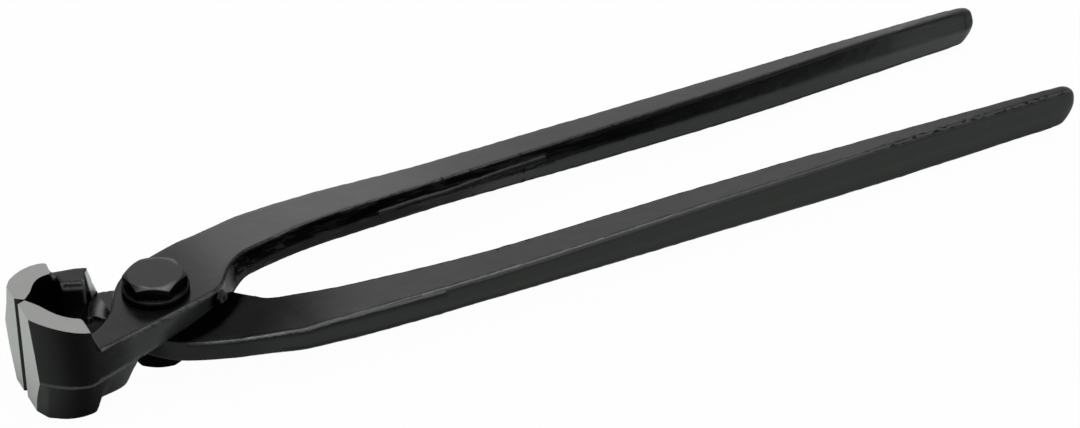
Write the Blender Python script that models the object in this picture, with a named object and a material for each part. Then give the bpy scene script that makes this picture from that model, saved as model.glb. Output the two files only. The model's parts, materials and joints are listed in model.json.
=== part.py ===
"""Rebar tying pliers: two crossed forged levers that turn on a hexagon bolt.

Metres, +Z up. The tool lies flat with its jaws towards -X and its handles towards +X.
Each lever is drawn in its own coordinates, with the pivot axis at zero, the jaw on the -Y side,
the handle on the +Y side and the lap face at z = 0. The upper lever is used as it is drawn, and
the lower lever is turned half a turn about X, so that the two lap faces meet.
"""
import math

import bmesh
import bpy
from mathutils import Vector

# Overall sizes
jaw_reach = 0.0332
handle_reach = 0.2460
grip_half_spread = 0.0246
jaw_half_width = 0.0181
jaw_top = 0.0138
jaw_bottom = 0.0128
jaw_top_fall = 0.0026
jaw_bottom_fall = 0.0016
lower_jaw_trim = 0.0014

# Lap joint
arm_thickness = 0.0055
running_gap = 0.0003
lap_skim = 0.00005
lap_radius = 0.0160
root_lap_radius = 0.0186
crotch_reach = 0.0282

# Jaws
edge_gap = 0.0003
edge_groove_depth = 0.0020
edge_groove_half_width = 0.0015
block_height = 0.0103
block_chamfer = 0.0011
block_draft = 0.0018
parting_drop = 0.0018
ring_length = 0.0117

# Handles
handle_root_width = 0.0140
handle_end_width = 0.0048
handle_root_height = 0.0054
handle_end_height = 0.0112
handle_edge_round = 0.0007
handle_drop = 0.0014
root_drop = 0.0009
handle_end_lift = 0.0007
handle_side_set = 0.0014
droop_reach = 0.0846
handle_end_round = 0.0040

# Pivot bolt, washer and nut
bolt_diameter = 0.0080
bore_clearance = 0.0003
hexagon_across_flats = 0.0131
bolt_head_height = 0.0029
washer_diameter = 0.0158
washer_thickness = 0.0015
nut_height = 0.0062
thread_chamfer = 0.0008
hexagon_turn = math.radians(4)

# Drawing
cut_overrun = 0.0050
round_steps = 48
rib_steps = 3
smooth_angle = math.radians(28)

# Plan outline of a jaw's outer wall, front to back, as shares of jaw reach and jaw half width:
# along, then out at the top face, at the parting line and at the bottom face
jaw_wall_shares = (
    (1.000, 0.415, 0.650, 0.400),
    (0.955, 0.560, 0.735, 0.600),
    (0.895, 0.672, 0.830, 0.715),
    (0.830, 0.765, 0.915, 0.800),
    (0.755, 0.840, 0.975, 0.855),
    (0.690, 0.875, 1.000, 0.870),
)
jaw_wall_end_shares = (0.648, 0.880, 0.965, 0.870)

# Plan outline of the hollow behind a cutting edge, front to back, shares of the same two sizes
hollow_shares = (
    (0.905, 0.080),
    (0.873, 0.153),
    (0.848, 0.230),
    (0.824, 0.311),
    (0.797, 0.380),
    (0.766, 0.439),
    (0.732, 0.484),
    (0.700, 0.515),
)
hollow_end_shares = (0.642, 0.545)
ring_back_shares = (0.545, 0.905, 0.430)

# Plan outline of the block behind the ring, shares of jaw reach and jaw half width:
# along, then out at the parting line and at the block's ground end, then the parting line's drop
# and the rear wall's draft as shares of their full sizes
block_outer_shares = (
    (0.690, 0.968, 0.760, 1.00, 0.0),
    (0.590, 0.950, 0.740, 0.85, 0.0),
    (0.465, 0.905, 0.700, 0.45, 0.0),
    (0.388, 0.855, 0.650, 0.25, 1.0),
    (0.350, 0.775, 0.575, 0.25, 1.0),
)
block_inner_shares = (
    (0.480, 0.190, 0.25, 0.4),
    (0.618, 0.295, 0.50, 0.0),
    (0.630, 0.560, 1.00, 0.0),
)

# Ribs of the arm from the jaw to the crotch, shares of jaw reach ahead of the bolt and of crotch
# reach behind it, and of jaw half width:
# near point along and out, far point along and out, how far the near side's foot and shoulder
# stand out, and how far the foot drops towards the parting line
arm_rib_shares = (
    (-0.712, -0.790, -0.697, -0.580, 0.110, 0.060, 1.00),
    (-0.610, -0.845, -0.605, -0.470, 0.110, 0.055, 0.90),
    (-0.500, -0.838, -0.503, -0.367, 0.105, 0.015, 0.45),
    (-0.370, -0.768, -0.376, -0.145, 0.125, 0.000, 0.00),
    (-0.242, -0.704, -0.309, 0.100, 0.105, 0.000, 0.00),
    (-0.121, -0.640, -0.261, 0.265, 0.070, 0.000, 0.00),
    (0.000, -0.556, -0.167, 0.500, 0.040, 0.000, 0.00),
    (0.125, -0.478, -0.048, 0.700, 0.010, 0.000, 0.00),
    (0.250, -0.400, 0.107, 0.820, -0.030, 0.000, 0.00),
    (0.374, -0.333, 0.285, 0.925, -0.070, 0.000, 0.00),
    (0.464, -0.272, 0.429, 0.995, -0.080, 0.000, 0.00),
    (0.536, -0.156, 0.553, 1.030, 0.020, 0.000, 0.00),
    (0.599, -0.011, 0.660, 1.070, 0.100, 0.000, 0.00),
    (0.671, 0.128, 0.768, 1.105, 0.120, 0.000, 0.00),
    (0.768, 0.255, 0.874, 1.145, 0.090, 0.000, 0.00),
    (0.892, 0.350, 0.998, 1.185, 0.040, 0.000, 0.00),
)

# Ribs of the handle from the crotch to the end, as shares: along the handle, outer line over the
# grip half spread, width from root to end, height from root to end, middle height over the arm's
handle_rib_shares = (
    (0.020, 0.893, 1.00, 0.08, 0.89),
    (0.055, 0.910, 0.88, 0.15, 0.88),
    (0.110, 0.930, 0.79, 0.24, 0.82),
    (0.180, 0.948, 0.72, 0.30, 0.68),
    (0.245, 0.963, 0.65, 0.36, 0.56),
    (0.315, 0.975, 0.61, 0.45, 0.46),
    (0.385, 0.986, 0.57, 0.55, 0.35),
    (0.455, 0.993, 0.51, 0.66, 0.25),
    (0.525, 0.997, 0.45, 0.76, 0.19),
    (0.620, 1.000, 0.37, 0.86, 0.14),
    (0.730, 1.000, 0.24, 0.95, 0.12),
    (0.850, 1.003, 0.10, 0.95, 0.10),
    (0.970, 1.006, 0.01, 0.85, 0.09),
)

# The handle's last stretch, as shares of the end rounding: back from the end, top and bottom
# height lost, and width lost on each side
handle_end_shares = (
    (0.80, 0.00, 0.12, 0.00),
    (0.45, 0.05, 0.45, 0.03),
    (0.15, 0.16, 0.85, 0.08),
    (0.00, 0.38, 1.10, 0.20),
)

# Depth of the handle's inner side above and below the parting line, shares of the edge rounding
inner_top_share = 1.70
inner_bottom_share = 0.50
outer_side_share = 0.40
corner_share = 0.30
foot_middle_share = 0.66

# How far round towards the handle the lap's wall widens, as a share of its forward reach
root_side_share = 0.50

# Where the handles start to rise again towards their ends, as a share of the handle's reach
lift_start_share = 0.667

# Sizes of the turned chamfers on the hexagons and the washer, as shares of the piece
hexagon_face_share = 0.97
hexagon_corner_share = 1.02
washer_edge_share = 0.20
hexagon_chamfer_slope = math.radians(30)

# Colours of the dark lacquer, the bolt and the nut
lever_colour = (0.028, 0.029, 0.028, 1.0)
lever_roughness = 0.38
fastener_colour = (0.022, 0.022, 0.022, 1.0)
fastener_roughness = 0.42


def clear_scene():
    for old in list(bpy.data.objects):
        bpy.data.objects.remove(old)


def material(name, colour, roughness):
    finish = bpy.data.materials.new(name)
    finish.use_nodes = True
    shader = finish.node_tree.nodes["Principled BSDF"]
    shader.inputs["Base Color"].default_value = colour
    shader.inputs["Metallic"].default_value = 0.0
    shader.inputs["Roughness"].default_value = roughness
    return finish


def add_object(name, mesh_data, parent, finish=None, smooth_angle=None):
    mesh = bpy.data.meshes.new(name)
    mesh_data.to_mesh(mesh)
    mesh_data.free()
    if smooth_angle is not None:
        mesh.shade_smooth()
        mesh.set_sharp_from_angle(angle=smooth_angle)
    piece = bpy.data.objects.new(name, mesh)
    bpy.context.scene.collection.objects.link(piece)
    piece.parent = parent
    if finish is not None:
        mesh.materials.append(finish)
    return piece


def hide_tool(tool):
    tool.hide_render = True
    tool.display_type = "WIRE"
    return tool


def boolean(piece, tool, operation):
    cut = piece.modifiers.new(tool.name, "BOOLEAN")
    cut.operation = operation
    cut.solver = "EXACT"
    cut.object = hide_tool(tool)


def loft(rings):
    """Joins closed rings of equal length, each a list of points, and caps the two ends."""
    shape = bmesh.new()
    rows = [[shape.verts.new(point) for point in ring] for ring in rings]
    for low, high in zip(rows, rows[1:]):
        for here in range(len(low)):
            after = (here + 1) % len(low)
            shape.faces.new((low[here], low[after], high[after], high[here]))
    shape.faces.new(list(reversed(rows[0])))
    shape.faces.new(rows[-1])
    bmesh.ops.recalc_face_normals(shape, faces=shape.faces)
    return shape


def turned(profile):
    """Turns a profile of (radius, height) points about Z; a zero radius closes the end."""
    rings = []
    for radius, height in profile:
        ring = []
        for step in range(round_steps):
            angle = 2 * math.pi * step / round_steps
            ring.append(Vector((radius * math.cos(angle), radius * math.sin(angle), height)))
        rings.append(ring)
    return loft(rings)


def hexagon(across_flats, low, high, turn):
    corner = across_flats / math.sqrt(3)
    rings = []
    for height in (low, high):
        ring = []
        for step in range(6):
            angle = turn + math.radians(60) * step + math.radians(30)
            ring.append(Vector((corner * math.cos(angle), corner * math.sin(angle), height)))
        rings.append(ring)
    return loft(rings)


def spline(rows, steps):
    """Passes a smooth line through rows of numbers, with some steps between each two rows."""
    result = []
    for index in range(len(rows) - 1):
        before = rows[max(index - 1, 0)]
        start = rows[index]
        end = rows[index + 1]
        after = rows[min(index + 2, len(rows) - 1)]
        for step in range(steps):
            share = step / steps
            result.append(tuple(
                catmull(a, b, c, d, share) for a, b, c, d in zip(before, start, end, after)))
    result.append(tuple(rows[-1]))
    return result


def catmull(a, b, c, d, t):
    return 0.5 * (2 * b + (c - a) * t + (2 * a - 5 * b + 4 * c - d) * t ** 2
                  + (3 * b - a - 3 * c + d) * t ** 3)


def ramp(value, start, end):
    share = min(max((value - start) / (end - start), 0), 1)
    return share * share * (3 - 2 * share)


def ground_height(full_height, fall, along):
    """Height of a jaw's ground face, which falls away from the cutting edge."""
    return full_height - fall * (jaw_reach - along) / ring_length


def wall_point(shares, column, trim):
    return shares[0] * jaw_reach, shares[column] * jaw_half_width - trim


def ring_level(height_at, column, trim, back, end_inner):
    """One closed outline of the jaw ring, from the groove round the outer wall to the hollow."""
    points = [(jaw_reach, edge_groove_half_width)]
    points += [wall_point(row, column, trim) for row in jaw_wall_shares]
    points.append(back)
    points.append(end_inner)
    hollow = [wall_point(row, 1, 0) for row in hollow_shares]
    points += list(reversed(hollow))
    points.append((jaw_reach - edge_groove_depth, edge_gap / 2))
    return [Vector((-along, -out, height_at(along))) for along, out in points]


def jaw_ring(name, turned_over, trim, parent):
    """The hard end of the jaw, with its cutting edge, ground faces and hollow."""
    end = jaw_wall_end_shares
    inner = wall_point(hollow_end_shares, 1, 0)
    upper_face = (jaw_top, jaw_top_fall, 1)
    lower_face = (jaw_bottom, jaw_bottom_fall, 3)
    faces = (lower_face, upper_face)
    if turned_over:
        faces = (upper_face, lower_face)

    def ground_level(face, side):
        height, fall, column = face
        return ring_level(lambda along: side * ground_height(height, fall, along), column, trim,
                          wall_point(end, column, trim), inner)

    levels = [
        ground_level(faces[0], -1),
        ring_level(lambda along: -parting_drop, 2, trim, wall_point(ring_back_shares, 1, trim),
                   wall_point(ring_back_shares, 2, 0)),
        ground_level(faces[1], 1),
    ]
    return add_object(name, loft(levels), parent)


def jaw_block(name, trim, parent):
    """The block behind the ring, on the lap side, whose rear wall clears the other lever."""
    rows = [(wall_point(row, 1, trim), wall_point(row, 2, trim), row[3], row[4], 1)
            for row in block_outer_shares]
    rows += [(wall_point(row, 1, 0), wall_point(row, 1, 0), row[2], row[3], 0)
             for row in block_inner_shares]

    def ground_level(height, chamfer):
        points = []
        for _, (along, out), _, _, outer in rows:
            inset = chamfer / 2 if outer else -chamfer
            points.append(Vector((-along, inset - out, height)))
        return points

    def parting_level(height, inset, drop_share):
        points = []
        for (along, out), _, drop, draft, outer in rows:
            points.append(Vector((block_draft * draft - along, inset * outer - out,
                                  height - parting_drop * drop * drop_share)))
        return points

    levels = [
        ground_level(-block_height, block_chamfer),
        ground_level(-block_height + block_chamfer, 0),
        parting_level(0, 0, 1),
        parting_level(parting_drop, parting_drop / 2, 0),
    ]
    return add_object(name, loft(levels), parent)


def arm_along(share):
    return share * (jaw_reach if share < 0 else crotch_reach)


def arm_ribs(trim):
    ribs = []
    arm_bottom = running_gap / 2 - lap_skim
    for near_x, near_y, far_x, far_y, foot, shoulder, drop in arm_rib_shares:
        here = trim * (1 - ramp(arm_along(near_x), -lap_radius, lap_radius / 2))
        ribs.append((arm_along(near_x), near_y * jaw_half_width + here, arm_along(far_x),
                     far_y * jaw_half_width, arm_bottom - drop * parting_drop, arm_thickness,
                     foot * jaw_half_width - here, shoulder * jaw_half_width))
    return ribs


def handle_ribs(drop_sign):
    ribs = []
    middle_at_root = (arm_thickness + running_gap / 2) / 2
    length = handle_reach - crotch_reach
    for along, outer, width, height, middle in handle_rib_shares:
        x = crotch_reach + along * length
        out = outer * grip_half_spread
        wide = handle_end_width + width * (handle_root_width - handle_end_width)
        high = handle_root_height + height * (handle_end_height - handle_root_height)
        centre = middle * middle_at_root
        ribs.append((x, out - wide, x, out, centre - high / 2, centre + high / 2, 0, 0))
    x, near_y, _, far_y, low, high, _, _ = ribs[-1]
    for back, top_loss, bottom_loss, side_loss in handle_end_shares:
        if drop_sign < 0:
            top_loss, bottom_loss = bottom_loss, top_loss
        end_x = handle_reach - back * handle_end_round
        side = side_loss * handle_end_round
        ribs.append((end_x, near_y + side, end_x, far_y - side,
                     low + bottom_loss * handle_end_round,
                     high - top_loss * handle_end_round, 0, 0))
    return ribs


def rib_ring(rib, drop_sign):
    """Closed section of the arm or handle at one rib."""
    near_x, near_y, far_x, far_y, low, high, foot, shoulder = rib
    middle_x = (near_x + far_x) / 2
    handle = ramp(middle_x, root_lap_radius, droop_reach)
    set_off = -drop_sign * handle_side_set * ramp(middle_x, -lap_radius / 2, lap_radius / 2)
    lift = handle_end_lift * ramp(middle_x, handle_reach * lift_start_share, handle_reach)
    late = handle_drop * ramp(middle_x, crotch_reach, droop_reach) - lift
    if drop_sign > 0:
        early = handle_drop * ramp(middle_x, lap_radius / 2, root_lap_radius) - lift
        low_drop, high_drop = -early, -late
    else:
        early = root_drop * ramp(middle_x, lap_radius / 2, crotch_reach)
        early += (handle_drop - root_drop) * ramp(middle_x, crotch_reach, droop_reach) - lift
        low_drop, high_drop = late, early
    near = Vector((near_x, near_y + set_off, 0))
    far = Vector((far_x, far_y + set_off, 0))
    across = (far - near).normalized()
    low += low_drop
    high += high_drop
    middle = (low + high) / 2
    edge = handle_edge_round
    corner = edge * corner_share
    near_low = near - across * foot + across * edge * inner_bottom_share * handle
    near_middle = near - across * foot * foot_middle_share
    near_high = near + across * edge * inner_top_share * handle
    near_shoulder = near_high - across * shoulder
    far_side = far - across * edge * outer_side_share * handle
    low_edge = corner + edge * handle
    return [
        at_height(near_low + across * edge, low),
        at_height(near_low, low + low_edge),
        at_height(near_middle, middle),
        at_height(near_shoulder, high - edge),
        at_height(near_high + across * corner, high - corner),
        at_height(near_high + across * edge, high),
        at_height(far_side - across * edge, high),
        at_height(far_side - across * corner, high - corner),
        at_height(far_side, high - edge),
        at_height(far, middle),
        at_height(far_side, low + low_edge),
        at_height(far_side - across * edge, low),
    ]


def at_height(point, height):
    return Vector((point.x, point.y, height))


def lap_drum(name, parent):
    """Clears the room that the other lever's boss turns in, wider on the handle side."""
    rings = []
    for height in (-jaw_top - cut_overrun, running_gap / 2):
        ring = []
        for step in range(round_steps):
            angle = 2 * math.pi * step / round_steps
            widen = ramp(math.cos(angle), 0, root_side_share)
            radius = lap_radius + (root_lap_radius - lap_radius) * widen
            ring.append(Vector((radius * math.cos(angle), radius * math.sin(angle), height)))
        rings.append(ring)
    return add_object(name, loft(rings), parent)


def lever(name, turned_over, trim, pivot, finish):
    """One forged lever: jaw ring, block, arm and handle, cut for the lap and the bolt."""
    frame = bpy.data.objects.new(name + "_frame", None)
    bpy.context.scene.collection.objects.link(frame)
    frame.parent = pivot
    drop_sign = 1
    if turned_over:
        frame.rotation_euler = (math.pi, 0, 0)
        drop_sign = -1
    ribs = spline(arm_ribs(trim) + handle_ribs(drop_sign), rib_steps)
    body = add_object(name, loft([rib_ring(rib, drop_sign) for rib in ribs]), frame, finish,
                      smooth_angle)
    boolean(body, jaw_ring(name + "_ring", turned_over, trim, frame), "UNION")
    boolean(body, jaw_block(name + "_block", trim, frame), "UNION")
    boolean(body, lap_drum(name + "_lap_drum", frame), "DIFFERENCE")
    bore_radius = bolt_diameter / 2 + bore_clearance
    bore = turned([(bore_radius, -cut_overrun), (bore_radius, arm_thickness + cut_overrun)])
    boolean(body, add_object(name + "_bore", bore, frame), "DIFFERENCE")
    return body


def hexagon_piece(name, low, high, chamfer_top, chamfer_bottom, finish, pivot):
    """A hexagon with its corners turned off at the free face or faces."""
    body = add_object(name, hexagon(hexagon_across_flats, low, high, hexagon_turn), pivot, finish,
                      smooth_angle)
    face_radius = hexagon_across_flats / 2 * hexagon_face_share
    corner_radius = hexagon_across_flats / math.sqrt(3) * hexagon_corner_share
    slope = (corner_radius - face_radius) * math.tan(hexagon_chamfer_slope)
    profile = []
    if chamfer_bottom:
        profile += [(face_radius, low), (corner_radius, low + slope)]
    else:
        profile += [(corner_radius, low - cut_overrun)]
    if chamfer_top:
        profile += [(corner_radius, high - slope), (face_radius, high)]
    else:
        profile += [(corner_radius, high + cut_overrun)]
    boolean(body, add_object(name + "_chamfer", turned(profile), pivot), "INTERSECT")
    return body


def pivot_bolt(pivot, finish):
    head_low = arm_thickness + washer_thickness + 2 * running_gap
    head_high = head_low + bolt_head_height
    body = hexagon_piece("pivot_bolt", head_low, head_high, True, False, finish, pivot)
    tip = -(arm_thickness + running_gap + nut_height)
    radius = bolt_diameter / 2
    shank = turned([(radius - thread_chamfer, tip), (radius, tip + thread_chamfer),
                    (radius, head_low + bolt_head_height / 2)])
    boolean(body, add_object("pivot_bolt_shank", shank, pivot), "UNION")
    return body


def head_washer(pivot, finish):
    low = arm_thickness + running_gap
    high = low + washer_thickness
    rim = washer_diameter / 2
    edge = washer_thickness * washer_edge_share
    body = add_object("head_washer", turned([(rim, low), (rim, high - edge), (rim - edge, high)]),
                      pivot, finish, smooth_angle)
    radius = bolt_diameter / 2 + bore_clearance
    hole = turned([(radius, low - cut_overrun), (radius, high + cut_overrun)])
    boolean(body, add_object("head_washer_hole", hole, pivot), "DIFFERENCE")
    return body


def pivot_nut(pivot, finish):
    high = -(arm_thickness + running_gap)
    low = high - nut_height
    body = hexagon_piece("pivot_nut", low, high, True, True, finish, pivot)
    radius = bolt_diameter / 2 + bore_clearance
    hole = turned([(radius, low - cut_overrun), (radius, high + cut_overrun)])
    boolean(body, add_object("pivot_nut_thread", hole, pivot), "DIFFERENCE")
    return body


def main():
    clear_scene()
    steel = material("dark_lacquered_steel", lever_colour, lever_roughness)
    black = material("blackened_steel", fastener_colour, fastener_roughness)
    pivot = bpy.data.objects.new("pivot_axis", None)
    bpy.context.scene.collection.objects.link(pivot)
    pivot.location = ((jaw_reach - handle_reach) / 2, handle_side_set, jaw_bottom)
    lever("upper_lever", False, 0, pivot, steel)
    lever("lower_lever", True, lower_jaw_trim, pivot, steel)
    pivot_bolt(pivot, black)
    head_washer(pivot, black)
    pivot_nut(pivot, black)
    bpy.context.view_layer.update()


main()
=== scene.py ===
import json
import math

import bmesh
import bpy
from mathutils import Matrix, Vector, kdtree, noise


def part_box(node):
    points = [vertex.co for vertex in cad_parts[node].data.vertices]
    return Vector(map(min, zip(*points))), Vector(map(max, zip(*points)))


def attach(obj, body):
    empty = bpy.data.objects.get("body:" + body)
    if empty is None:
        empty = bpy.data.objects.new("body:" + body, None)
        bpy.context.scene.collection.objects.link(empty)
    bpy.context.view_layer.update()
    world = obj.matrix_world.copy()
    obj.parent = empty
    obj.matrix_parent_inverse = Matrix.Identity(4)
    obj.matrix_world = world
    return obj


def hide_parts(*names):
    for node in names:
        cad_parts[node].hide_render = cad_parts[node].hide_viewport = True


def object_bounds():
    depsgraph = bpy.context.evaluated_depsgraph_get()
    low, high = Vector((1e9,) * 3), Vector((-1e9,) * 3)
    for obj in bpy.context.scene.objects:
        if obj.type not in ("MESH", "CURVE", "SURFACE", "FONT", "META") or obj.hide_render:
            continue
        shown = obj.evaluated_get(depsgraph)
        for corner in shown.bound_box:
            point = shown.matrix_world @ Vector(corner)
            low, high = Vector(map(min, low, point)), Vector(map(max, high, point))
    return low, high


# Camera: its place, which way it looks, and its lens
camera_place = Vector((-0.28032, -0.49711, 0.39633))
camera_heading = math.radians(-28.796)
camera_pitch = math.radians(34.322)
camera_roll = math.radians(0.696)
camera_lens = 92.75
camera_sensor = 36
camera_shift = (0.00343, 0.00046)
camera_clip = (0.01, 50)

# Ground faces of the jaws
ring_length = 0.0117
ring_top_fall = 0.0026
ring_bottom_fall = 0.0016
grinding_stock = 0.0012
plane_tolerance = 0.00002

# Forged surface
forging_voxel = 0.00040
smoothing_rounds = 5
smoothing_factor = 0.5
lever_sharp_angle = math.radians(38)
swell_size = 0.0095
swell_height = 0.00007
ripple_size = 0.0024
ripple_height = 0.000022
flash_size = 0.0021
flash_height = 0.00013
flash_reach = 0.0009
flash_bias = 0.15
handle_fade = 0.0117

# Creases, and which of them count
wear_reach = 0.0020
thin_wear_share = 0.62
crease_angle = math.radians(24)
faint_crease_angle = math.radians(15)
worn_crease_angle = math.radians(40)
sharp_crease_angle = math.radians(60)

# Flat where the levers slide on each other, and the painted shade on it beside the other lever
lap_face_reach = 0.0225
lap_face_fade = 0.0290
lap_face_depth = 0.0010
lap_fade_share = 0.80
lap_edge_skew = 0.55
lap_edge_blur = 0.0016
lap_shade_front = -0.0075
lap_flat_depth = 0.0005
lap_flat_fade = 0.0030
lap_gap = 0.00003

# Pits, the glossy film of the handles, and eased ends and feet
pit_start = 0.070
pit_reach = 0.0011
arm_pit_share = 0.45
grip_start = 0.0080
grip_full = 0.0500
grip_end = 0.1150
grip_fall = 0.85
grip_tip_start = 0.1900
grip_tip_end = 0.2300
upper_grip_coat = 0.6
end_ease = 0.0035
end_ease_rounds = 8
foot_ease_height = 0.0095
foot_ease_start = 0.0070
foot_ease_front = 0.0020
foot_ease_side = 0.0075
foot_ease_rounds = 32

# How far each kind of crease is rubbed bare, and where along the tool
root_rub = 1.0
root_rub_start = 0.0010
root_rub_full = 0.0070
handle_rub = 0.62
handle_rub_end = 0.24
arm_rub = 0.11
arm_rub_start = -0.0140
arm_rub_end = 0.0180
jaw_rub = 0.19
jaw_rub_end = -0.0040
jaw_rub_height = 0.0019
block_rub = 0.50
block_rub_height = 0.0070
crotch_rub = 0.50
crotch_rub_start = 0.0130
crotch_rub_end = 0.0190

# How a face tilts, as its normal's upright part, to count as one or another place
handle_rub_tilt = 0.3
block_rub_tilt = 0.6
arm_rub_tilt = (0.6, 0.8)
jaw_rub_tilt = 0.55
crotch_rub_rise = 0.8
bevel_tilt_low = (0.15, 0.35)
bevel_tilt_high = (0.93, 0.985)
level_tilt = 0.9
jaw_flat_tilt = 0.85
inner_wall_tilt = 0.7
milled_wall_tilt = 0.5
outer_wall_tilt = 0.4
lap_tilt = (0.15, 0.5)

# How far a face turns to its own jaw's side, to count as on it
side_turn = 0.2
pit_turn = 0.3
streaky_turn = (0.4, 0.7)
painted_fill_turn = (0.2, 0.5)

# Fold that the forging left in the upper handle's inner wall
fold_places = ((-0.0441, 0.0117, 0.0144), (-0.0350, 0.0125, 0.0143), (-0.0256, 0.0132, 0.0138),
               (-0.0170, 0.0138, 0.0141), (-0.0083, 0.0142, 0.0144), (0.0033, 0.0148, 0.0144))
fold_rub = 0.32
fold_reach = 0.0006
fold_height = 0.00012

# Painted shade and painted dark reflection on the lacquer, as a black matt diffuse, in zones
# reaching ahead of or behind the pivot
jaw_shade_nose = 0.0335
jaw_shade_side = 0.0250
jaw_shade_end = 0.0095
nose_shade_share = 0.25
side_shade_share = 0.80
flat_shade_share = 0.30
flat_shade_start = 0.0130
flat_shade_end = 0.0460
wall_shade_start = 0.0170
wall_shade_full = 0.0205
wall_shade_share = 0.92
wall_whole_share = 0.76
wall_whole_end = 0.0780
wall_whole_fade = 0.0200
wall_split = 0.0009
wall_split_fall = 0.0014
wall_split_start = 0.1100
wall_split_end = 0.1500
wall_split_blur = 0.0006
wall_fade_start = 0.0950
wall_fade_end = 0.2000
wall_fade_share = 0.72
root_shade_share = 0.30
root_shade_end = 0.0240
shade_share = 0.55
shade_start = 0.0003
shade_reach = 0.0022
shade_fade_start = 0.0300
shade_fade_end = 0.1700
inner_crease_reach = 0.00045
inner_crease_share = 0.90
notch_size = 0.0016
notch_level = 0.18
notch_reach = 0.0032
notch_start = 0.0600
notch_end = 0.1350

# Painted shade in the corner where the arm's side ends at the crotch
corner_shade_share = 0.95
corner_shade_start = 0.0100
corner_shade_middle = 0.0124
corner_shade_end = 0.0142

# Painted fill light: a lighter grey on the sides of the arm and of the bulge behind the jaw
painted_fill_start = -0.0155
painted_fill_full = -0.0100
painted_fill_share = 0.68
painted_fill_thick_start = -0.0080
painted_fill_thick_end = 0.0060
painted_fill_fade = 0.0100
painted_fill_end = 0.0125

# Milled clearance behind the jaw blocks, with painted shadow at the wall's foot and under the other
# lever's edge
milled_radius = 0.0164
milled_start = 0.0100
milled_slant = 0.30
milled_edge = 0.0105
milled_blur = 0.0008
foot_shadow_share = 0.90
foot_streak_share = 0.20
foot_streak_start = 0.0116
foot_streak_middle = 0.0134
foot_streak_end = 0.0150

# Fasteners
fastener_edge_round = 0.00012
crown_rim = 0.00055
# Where the bolt head's rim takes a painted highlight, towards the front and the back right
crown_radius = 0.0056
rim_tilt = 0.75
rim_front = Vector((-0.25, -0.97, 0))
rim_front_spread = (0.62, 0.90)
rim_back = Vector((0.62, 0.78, 0))
rim_back_spread = (0.60, 0.85)
rim_back_share = 0.55
coplanar_angle = math.radians(0.5)
fastener_bevel_angle = math.radians(20)
fastener_bevel_segments = 3
fastener_sharp_angle = math.radians(30)
fastener_flat_tilt = (0.2, 0.5)
bolt_radius = 0.0040
thread_pitch = 0.00125
thread_ridge = 0.00036
thread_ridge_sides = 3
thread_turns = 4.5
thread_turn_points = 40
fastener_wear_reach = 0.0005
# How much painted shade, as a black matt diffuse, each fastener takes on its sides and on its flats
fastener_painted_shade = {"pivot_bolt": (0.88, 0.16), "head_washer": (0.92, 0.75), "pivot_nut": (0.92, 0.30)}

# Lacquer. A cloud is its blotches' size, detail and roughness, lines begin with a scale by axis
lacquer_broad = (0.016, 3.0)
lacquer_blotch = (0.0030, 4.0, 0.62)
lacquer_grain = (0.0006, 3.0, 0.6)
lacquer_dashes = ((520, 1300, 1300), 2.0, 0.55)
lacquer_lines = ((55, 1900, 1900), 2.0, 0.5)
lacquer_streaks = ((60, 900, 900), 3.0, 0.6)
bare_wander = 0.22
bare_stops = ((0.85, 0.0), (0.95, 1.0))
bare_part = 0.6
plate_stops = ((0.40, 0.0), (0.55, 1.0))
dash_stops = ((0.53, 0.0), (0.57, 1.0))
patch_stops = ((0.45, 0.0), (0.65, 1.0))
line_stops = ((0.68, 0.0), (0.74, 1.0))
streak_stops = ((0.50, 0.0), (0.75, 1.0))
lacquer_tones = ((0.0032, 0.0046, 0.0038, 1), (0.0062, 0.0080, 0.0066, 1))
# Painted fill light: the lighter grey of the next tone
painted_fill_tone = (0.043, 0.047, 0.044, 1)
scratch_tone = (0.05, 0.05, 0.048, 1)
rubbed_tone = (0.240, 0.246, 0.236, 1)
milled_tone = (0.86, 0.86, 0.85, 1)
# Black of the painted shade, also the real dark of pits
shade_and_pit_tone = (0.0012, 0.0012, 0.0012, 1)
# How strong the painted fill light is, and how much it wanders with the blotches
painted_fill_level = 0.7
painted_fill_wander = 0.5
scratch_tint = 0.20
pit_tint = 0.95
lacquer_roughness = {"plain": 0.15, "blotch": 0.10, "broad": 0.10, "rubbed": 0.12, "pits": 0.3,
                     "milled": 0.1, "dust": 0.15}
lacquer_relief = {"blotch": 0.6, "grain": 0.10, "pits": -1.0, "scratches": -0.10}
lacquer_metal = {"rubbed": 0.2, "milled": 0.9}
lacquer_depth = 0.00004
coat_roughness = 0.22
# How strong the painted shade is, and how streaks and bare creases thin it
painted_shade_level = 1.04
painted_shade_streak = 0.08
painted_shade_streaky = 0.45
painted_shade_rubbed_off = 0.85
soot_in_pits = 0.85

# Ground steel
grinding_marks = (3.0, 0.7)
steel_broad = (0.005, 2.0)
steel_stains = (0.0014, 4.0, 0.6)
stain_stops = ((0.66, 0.0), (0.80, 1.0))
stain_tint = 0.30
stain_tone = (0.12, 0.115, 0.11, 1)
steel_level = {"plain": 0.66, "marks": 0.24, "broad": 0.20}
steel_dull = 0.75
steel_bright = 1.06
steel_roughness = {"plain": 0.30, "marks": 0.20, "stains": 0.15}
steel_metal = 0.9
steel_depth = 0.00003
# The nose and the top and bottom faces are one ground steel; the nose's lighter tone and the faces'
# darker tone are painted light, to match how light falls on each
nose_marks = (160, 2600, 240)
nose_lit_tone = (0.62, 0.62, 0.61)
face_marks = (2600, 200, 200)
face_shaded_tone = (0.345, 0.345, 0.34)

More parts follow.
